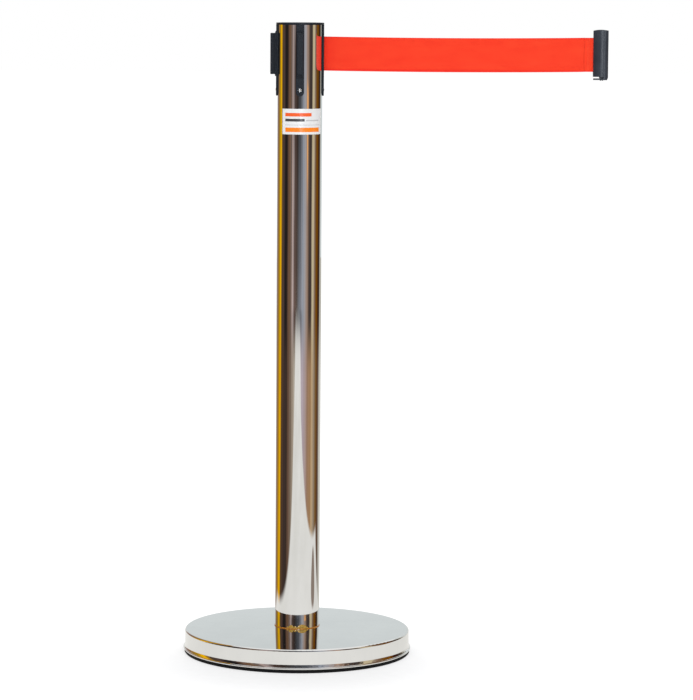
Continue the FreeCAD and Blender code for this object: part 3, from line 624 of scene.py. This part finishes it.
def staged(mesh, material, **seen_by):
    """Something that is no part of the object, and is seen only by the kinds of ray named."""
    obj = bpy.data.objects.new(mesh.name, mesh)
    scene.collection.objects.link(obj)
    obj.data.materials.append(material)
    for ray in ("camera", "diffuse", "glossy", "transmission", "shadow"):
        setattr(obj, "visible_" + ray, seen_by.get(ray, False))


def flat_square(name, half, z):
    """A level square round the post's middle, from -half to half."""
    mesh = bpy.data.meshes.new(name)
    corners = [(-half, -half, z), (half, -half, z), (half, half, z), (-half, half, z)]
    mesh.from_pydata(corners, [], [(0, 1, 2, 3)])
    return mesh


def arc_wall(name, start, end, count, bottom, top):
    """A wall round the post, between two bearings in degrees and from one height to another."""
    angles = np.radians(np.linspace(start, end, count))
    across = np.stack([np.sin(angles) * ROOM_R, -np.cos(angles) * ROOM_R], 1)
    return grid_mesh(name, np.array([[(x, y, z) for x, y in across] for z in (bottom, top)]))


def floor_paper():
    """The white floor as the camera sees it.

    It glows evenly, and less so near the front of the base: a painted contact shadow, which adds
    to the shadows that the base really casts.
    """
    shade_centre, shade_from, shade_to = (0.0, -0.10, 0.0), 0.08, 0.34
    g = Graph("floor_paper")
    tooth = g.noise(60.0, 3.0)
    g.bump((tooth, 0.02, 0.0005))
    g.set(Emission_Color=(1, 1, 1, 1), Specular_IOR_Level=0.0)
    away = g.distance(g.scaled((1, 1, 0)), shade_centre)
    # Painted shadow: the glow is dimmer round a point just in front of the base
    glow = g.step(away, shade_from, shade_to, 0.60, 0.86)
    g.feed(g.shader.inputs["Emission Strength"], glow)
    return g.finish(g.ramp(tooth, (0.3, (0.33, 0.33, 0.335)), (0.7, (0.35, 0.35, 0.355))), 0.9)


# What stands round the stage, as colours by direction: degrees from straight ahead of the post
# (towards -Y), positive towards +X. The first list is the room's walls and the second its floor.
# The last colour of each goes on to straight behind.
WALLS = (
    (-180, (0.62, 0.62, 0.60)),
    (-158, (0.62, 0.60, 0.57)),
    (-151, (0.34, 0.26, 0.24)),
    (-145, (0.27, 0.17, 0.14)),
    (-135, (0.30, 0.17, 0.06)),
    (-123, (0.42, 0.24, 0.01)),
    (-117, (0.58, 0.31, 0.005)),
    (-110, (1.00, 0.53, 0.0)),
    (-104, (0.48, 0.24, 0.01)),
    (-98, (0.09, 0.06, 0.04)),
    (-84, (0.075, 0.045, 0.04)),
    (-75, (0.016, 0.015, 0.014)),
    (-66, (0.018, 0.013, 0.012)),
    (-56, (0.16, 0.09, 0.06)),
    (-50, (0.19, 0.10, 0.05)),
    (-42, (0.16, 0.12, 0.10)),
    (-36, (0.42, 0.31, 0.28)),
    (-30, (0.42, 0.35, 0.34)),
    (-25, (0.11, 0.07, 0.06)),
    (-14, (0.075, 0.055, 0.045)),
    (0, (0.115, 0.12, 0.135)),
    (8, (0.11, 0.12, 0.14)),
    (15, (0.24, 0.24, 0.27)),
    (23, (0.33, 0.36, 0.42)),
    (31, (0.44, 0.41, 0.42)),
    (38, (0.34, 0.25, 0.21)),
    (44, (0.42, 0.29, 0.22)),
    (49, (0.16, 0.10, 0.07)),
    (55, (0.06, 0.045, 0.04)),
    (65, (0.06, 0.045, 0.04)),
    (73, (0.68, 0.56, 0.36)),
    (80, (0.64, 0.54, 0.35)),
    (87, (0.25, 0.17, 0.13)),
    (98, (0.21, 0.085, 0.01)),
    (109, (0.20, 0.07, 0.002)),
    (115, (0.05, 0.015, 0.009)),
    (122, (0.03, 0.014, 0.010)),
    (131, (0.13, 0.11, 0.08)),
    (138, (0.56, 0.54, 0.48)),
)
FLOOR = (
    (-180, (0.93, 0.92, 0.89)),
    (-156, (0.62, 0.59, 0.55)),
    (-147, (0.27, 0.17, 0.14)),
    (-135, (0.30, 0.17, 0.07)),
    (-123, (0.50, 0.25, 0.01)),
    (-117, (0.62, 0.32, 0.005)),
    (-109, (0.95, 0.50, 0.005)),
    (-104, (0.55, 0.27, 0.005)),
    (-98, (0.09, 0.05, 0.03)),
    (-74, (0.055, 0.035, 0.030)),
    (-64, (0.045, 0.030, 0.022)),
    (-52, (0.16, 0.09, 0.06)),
    (-40, (0.24, 0.18, 0.13)),
    (-28, (0.40, 0.33, 0.26)),
    (-16, (0.62, 0.58, 0.50)),
    (0, (0.72, 0.68, 0.65)),
    (8, (0.80, 0.74, 0.74)),
    (20, (0.55, 0.46, 0.52)),
    (32, (0.46, 0.36, 0.36)),
    (48, (0.38, 0.23, 0.14)),
    (66, (0.42, 0.25, 0.12)),
    (74, (0.62, 0.44, 0.26)),
    (88, (0.32, 0.25, 0.18)),
    (100, (0.24, 0.12, 0.03)),
    (115, (0.09, 0.035, 0.02)),
    (124, (0.16, 0.12, 0.09)),
    (138, (0.66, 0.64, 0.58)),
)
ROOM_R = 5.0
ROOM_TALL = 7.0
LAMP_COLOUR = (1.10, 0.52, 0.16)
BACK_COLOUR = (0.70, 0.745, 0.75)

# White paper on the mirrored floor, in metres. Each side is given as its distance from the post's
# middle and how much that grows for each metre ahead. It ends behind the post at PAPER_BACK, and
# fades out ahead between the two distances of PAPER_FADE.
PAPER_LEFT = (0.45, 0.22)
PAPER_RIGHT = (1.06, -0.12)
PAPER_BACK = 0.30
PAPER_FADE = (3.7, 5.0)
PAPER_SOFT = 0.06
# A brown oval on that paper: its middle, half size and colour
OVAL_X, OVAL_AHEAD = (0.66, 0.29), (0.03, 0.13)
OVAL_COLOUR = (0.30, 0.24, 0.20)


def bearing(g, sway):
    """Each point's coordinates, and its direction round the post as a share of a turn.

    The direction sways a little with a noise.
    """
    x, y, z = g.xyz()
    share = g.math("MULTIPLY_ADD", g.direction(x, y), 0.5 / math.pi, 0.5)
    wander = g.math("SUBTRACT", g.noise((1.3, 1.3, 3.5), 2.0), 0.5)
    return x, y, z, g.math("MULTIPLY_ADD", wander, sway, share)


def by_bearing(g, share, colours):
    """The colours of a list, for a direction given as a share of a turn."""
    stops = [((angle + 180) / 360, colour) for angle, colour in colours]
    left = g.ramp(share, *[stop for stop in stops if stop[0] <= 0.5])
    right = g.ramp(share, *[stop for stop in stops if stop[0] >= 0.5])
    return g.mix(g.math("GREATER_THAN", share, 0.5), left, right)


def glowing(g, colour):
    """Makes the material give off a colour, and nothing else."""
    emission = g.add("Emission")
    g.feed(emission.inputs["Color"], colour)
    g.tree.links.new(emission.outputs[0], g.tree.nodes["Material Output"].inputs["Surface"])
    g.tree.nodes.remove(g.shader)
    return g.mat


def streaks(g, share):
    """Fine upright differences of brightness, which bend a little with height."""
    bend = g.math("SUBTRACT", g.noise((1.5, 1.5, 2.5), 2.0), 0.5)
    turn = g.math("MULTIPLY_ADD", bend, 0.010, share)
    fine = g.noise(34.0, 3.0, source=turn, rough=0.75)
    return g.ramp(fine, (0.34, 0.62), (0.50, 1.0), (0.66, 1.45))


def room_walls():
    """Coloured walls, brighter straight ahead near the floor, with an orange lamp on the right."""
    g = Graph("room_walls")
    _, _, z, share = bearing(g, 0.018)
    height = g.math("MULTIPLY_ADD", g.noise(2.0, 2.0), 0.3, z)
    lower = g.ramp(height, (0.12, 1.9), (0.30, 1.25), (0.48, 1.0), (0.70, 0.62))
    ahead = g.ramp(share, (0.38, 0.0), (0.46, 1.0), (0.52, 1.0), (0.57, 0.0))
    lit = g.mix(ahead, by_bearing(g, share, WALLS), lower, "MULTIPLY")
    lit = g.mix(1.0, lit, streaks(g, share), "MULTIPLY")
    lamp_across = g.ramp(share, (0.604, 0.0), (0.614, 1.0), (0.620, 1.0), (0.632, 0.0))
    lamp_up = g.ramp(height, (0.40, 0.0), (0.58, 1.0), (0.76, 1.0), (0.82, 0.0))
    return glowing(g, g.mix(g.math("MULTIPLY", lamp_across, lamp_up), lit, LAMP_COLOUR))


def on_paper(g, x, ahead):
    """1 on the white paper of the mirrored floor and 0 beside it, with a soft edge."""
    left = g.math("ADD", x, g.math("MULTIPLY_ADD", ahead, PAPER_LEFT[1], PAPER_LEFT[0]))
    right = g.math("SUBTRACT", g.math("MULTIPLY_ADD", ahead, PAPER_RIGHT[1], PAPER_RIGHT[0]), x)
    back = g.math("ADD", ahead, PAPER_BACK)
    margin = g.math("MINIMUM", g.math("MINIMUM", left, right), back)
    inside = g.step(margin, -PAPER_SOFT, PAPER_SOFT)
    return g.math("MULTIPLY", inside, g.step(ahead, *PAPER_FADE, 1.0, 0.12))


def in_oval(g, x, ahead):
    """1 in the brown oval and 0 beyond it, with a soft edge."""
    squares = []
    for value, (middle, half) in ((x, OVAL_X), (ahead, OVAL_AHEAD)):
        away = g.math("MULTIPLY", g.math("SUBTRACT", value, middle), 1 / half)
        squares.append(g.math("MULTIPLY", away, away))
    return g.step(g.math("ADD", *squares), 0.7, 1.15, 1.0, 0.0)


def room_floor():
    """The floor that mirrors see: coloured, with white paper that spreads out ahead."""
    g = Graph("room_floor")
    x, y, _, share = bearing(g, 0.008)
    ahead = g.math("MULTIPLY", y, -1.0)
    near_wall = g.step(g.distance(g.coords), 3.3, 4.9)
    colour = g.mix(near_wall, by_bearing(g, share, FLOOR), by_bearing(g, share, WALLS))
    colour = g.mix(0.8, colour, streaks(g, share), "MULTIPLY")
    white = g.ramp(g.noise(1.1, 3.0), (0.35, (0.84, 0.83, 0.79)), (0.65, (0.93, 0.92, 0.89)))
    colour = g.mix(on_paper(g, x, ahead), colour, white)
    return glowing(g, g.mix(in_oval(g, x, ahead), colour, OVAL_COLOUR))


def room():
    """What the mirrors reflect: walls, a floor and a pale card behind. No other ray sees it."""
    walls = arc_wall("room_walls", -158, 140, 100, -0.01, ROOM_TALL)
    staged(walls, room_walls(), glossy=True)
    staged(flat_square("room_floor", 9, -0.002), room_floor(), glossy=True)
    back = arc_wall("room_back", 138, 204, 50, 0.15, 3.4)
    staged(back, glowing(Graph("room_back"), BACK_COLOUR + (1,)), glossy=True)


def mirror_collection():
    """The mirror steel, which the softboxes leave out because it shows the room instead."""
    mirrors = bpy.data.collections.new("mirrors")
    for mirror in ("post_tube", "base_cover"):
        mirrors.objects.link(nodes[mirror])
    for member in mirrors.collection_objects:
        member.light_linking.link_state = "EXCLUDE"
    return mirrors


# Name, place, target, width and height, watts and colour
SOFTBOXES = (
    ("key", (-2.2, -3.0, 3.4), (0, 0, 0.6), (1.8, 1.8), 24, (1, 1, 1)),
    ("fill", (0.7, -4.7, 1.7), (0.2, 0, 0.7), (0.8, 2.0), 67, (0.90, 0.95, 1.0)),
    ("top", (0.2, 0.6, 4.0), (0.1, 0, 0.5), (2.4, 2.4), 42, (1, 1, 1)),
    ("strip", (0.22, -3.4, 0.95), (0.40, 0, 0.85), (0.18, 1.8), 5, (0.88, 0.94, 1.0)),
)


def softboxes():
    """Lights for everything but the mirror steel."""
    mirrors = mirror_collection()
    for name, place, target, size, power, colour in SOFTBOXES:
        data = bpy.data.lights.new(name, "AREA")
        data.shape = "RECTANGLE"
        data.size, data.size_y = size
        data.energy = power
        data.color = colour
        obj = bpy.data.objects.new(name, data)
        scene.collection.objects.link(obj)
        obj.light_linking.receiver_collection = mirrors
        obj.location = place
        aim = Vector(target) - Vector(place)
        obj.rotation_euler = aim.to_track_quat("-Z", "Y").to_euler()


def world():
    """White all round. It is dimmer for the light it casts than for what is seen of it."""
    cast_share = 0.55
    made = bpy.data.worlds.new("studio")
    scene.world = made
    made.use_nodes = True
    tree = made.node_tree
    background = tree.nodes["Background"]
    background.inputs["Color"].default_value = (1.0, 1.0, 1.0, 1)
    rays = tree.nodes.new("ShaderNodeLightPath")
    strength = tree.nodes.new("ShaderNodeMath")
    strength.operation = "MULTIPLY_ADD"
    tree.links.new(rays.outputs["Is Diffuse Ray"], strength.inputs[0])
    strength.inputs[1].default_value = cast_share - 1.0
    strength.inputs[2].default_value = 1.0
    tree.links.new(strength.outputs[0], background.inputs["Strength"])


def camera():
    """A long lens at about the height of the post's top, tilted a little down."""
    distance, height, down, roll = 4.69, 0.96, math.radians(6.385), math.radians(0.31)
    data = bpy.data.cameras.new("camera")
    data.sensor_width = 36.0
    data.lens = 170.16
    data.shift_x = 0.0686
    data.clip_end = 100.0
    obj = bpy.data.objects.new("camera", data)
    scene.collection.objects.link(obj)
    tilt = Matrix.Rotation(math.pi / 2 - down, 4, "X") @ Matrix.Rotation(roll, 4, "Z")
    obj.matrix_world = Matrix.Translation((0, -distance, height)) @ tilt
    scene.camera = obj


world()
room()
staged(flat_square("floor", 30, 0.0), floor_paper(), camera=True, diffuse=True, shadow=True)
softboxes()
camera()
scene.view_settings.view_transform = "Standard"
scene.view_settings.look = "None"


# Smooth shading of the CAD parts, with their sharp edges kept

SHARP_FROM = math.radians(32.0)

for node in nodes.values():
    bpy.ops.object.select_all(action="DESELECT")
    node.select_set(True)
    bpy.context.view_layer.objects.active = node
    bpy.ops.object.shade_smooth_by_angle(angle=SHARP_FROM)
